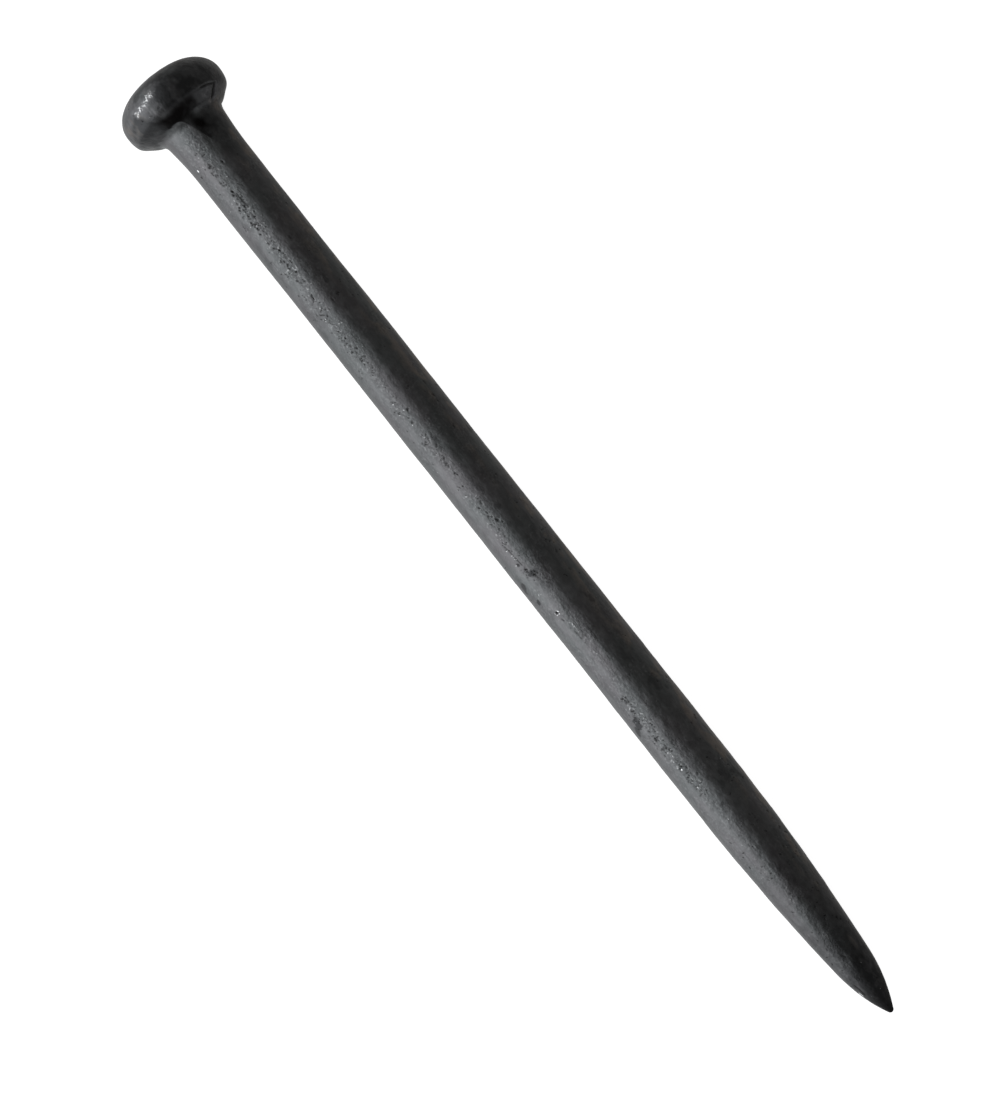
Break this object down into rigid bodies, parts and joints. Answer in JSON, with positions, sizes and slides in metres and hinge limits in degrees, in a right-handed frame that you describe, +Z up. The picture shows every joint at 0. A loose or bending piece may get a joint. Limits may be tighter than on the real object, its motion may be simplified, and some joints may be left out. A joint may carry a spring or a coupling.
{
  "type": "round forged spike",
  "caption": "One-piece hot-forged round steel spike with a thick button head, a slight neck, a plain shank and a long bullet-shaped point, for driving into timber or ground.",
  "frame": {"origin": "centre of the flat of the driving face, on the spike's axis", "axes": "+X along the spike's axis from the driving face to the tip; the spike lies along X and is round about it, so +Z is up and +Y is across"},
  "size_m": [0.4794, 0.0476, 0.0476],
  "materials": {
    "forged_steel": "hot-forged, black mill scale, satin, with pits and small bright rub marks"
  },
  "bodies": {
    "root": {"spike": "forged_steel"}
  },
  "joints": []
}
